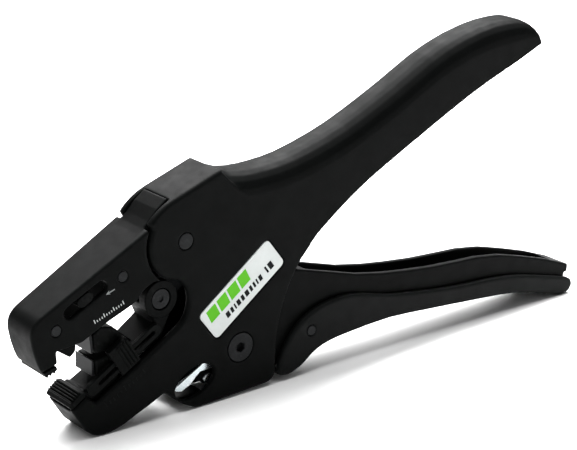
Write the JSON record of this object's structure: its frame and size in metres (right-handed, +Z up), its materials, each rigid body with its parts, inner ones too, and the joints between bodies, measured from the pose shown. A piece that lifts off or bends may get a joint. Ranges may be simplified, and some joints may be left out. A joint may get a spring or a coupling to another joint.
{
  "type": "wire stripper",
  "caption": "Self-adjusting wire stripper: hinged upper jaw, sliding blade carriage, length stop on a rail, built-in cutter and a sprung squeeze handle.",
  "frame": {"origin": "bottom centre of the bounding box, on the surface that the tool stands on", "axes": "+X from the jaws to the handles, +Y across the tool to its far side, +Z up"},
  "size_m": [0.187, 0.015, 0.088],
  "materials": {
    "black_nylon": "matt glass-filled nylon",
    "clamp_plastic": "matt",
    "grip_plastic": "matt, finely grained",
    "black_steel": "black oxide",
    "blade_steel": "ground bright",
    "spring_steel": "bright wire",
    "label_film": "satin film"
  },
  "bodies": {
    "body": {"housing": "black_nylon", "lower_clamp_jaw": "clamp_plastic", "length_stop_rail": "clamp_plastic", "jaw_pin": "black_steel", "handle_pivot_screw": "black_steel", "handle_pivot_nut": "black_steel", "return_spring": "spring_steel", "label_plate": "label_film"},
    "top_jaw": {"upper_jaw": "black_nylon", "upper_clamp_plate": "clamp_plastic", "jaw_front_pin": "black_steel", "jaw_rear_pin": "black_steel"},
    "adjuster": {"depth_adjuster": "clamp_plastic"},
    "stop": {"length_stop": "clamp_plastic"},
    "blade_carriage": {"carriage": "black_nylon", "carriage_screw": "black_steel", "draw_bar": "black_steel", "lower_blade_holder": "black_nylon", "lower_blade": "black_steel"},
    "top_blade": {"upper_blade_holder": "black_nylon", "upper_blade": "black_steel"},
    "lever": {"handle_lever": "black_nylon", "grip_shell": "grip_plastic", "grip_pin": "black_steel", "cutter_blade": "blade_steel", "cutter_screw": "blade_steel"}
  },
  "joints": [
    {"name": "handle_squeeze", "type": "hinge", "parent": "body", "child": "lever", "pos_m": [-0.03113, 0, 0.0138], "axis": [0, -1, 0], "range_deg": [0, 17], "stiffness_Nm_per_rad": 0.5, "springref_deg": -28.65, "deforming": ["return_spring"]},
    {"name": "jaw_close", "type": "hinge", "parent": "body", "child": "top_jaw", "pos_m": [-0.04803, 0, 0.0473], "axis": [0, -1, 0], "range_deg": [0, 11]},
    {"name": "carriage_slide", "type": "slide", "parent": "body", "child": "blade_carriage", "axis": [0.8634, 0, 0.5045], "range_m": [0, 0.0121]},
    {"name": "blade_close", "type": "hinge", "parent": "blade_carriage", "child": "top_blade", "pos_m": [-0.06653, 0, 0.0248], "axis": [0, -1, 0], "range_deg": [0, 8.5]},
    {"name": "length_stop_slide", "type": "slide", "parent": "body", "child": "stop", "axis": [0.8634, 0, 0.5045], "range_m": [-0.006, 0.004]},
    {"name": "depth_adjuster_slide", "type": "slide", "parent": "top_jaw", "child": "adjuster", "axis": [0.8846, 0, 0.4664], "range_m": [-0.003, 0.003]}
  ],
  "couplings": [
    {"joint": "jaw_close", "follows": "handle_squeeze", "ratio": 0.64},
    {"joint": "carriage_slide", "follows": "handle_squeeze", "m_per_rad": 0.0407},
    {"joint": "blade_close", "follows": "handle_squeeze", "ratio": 0.47}
  ]
}
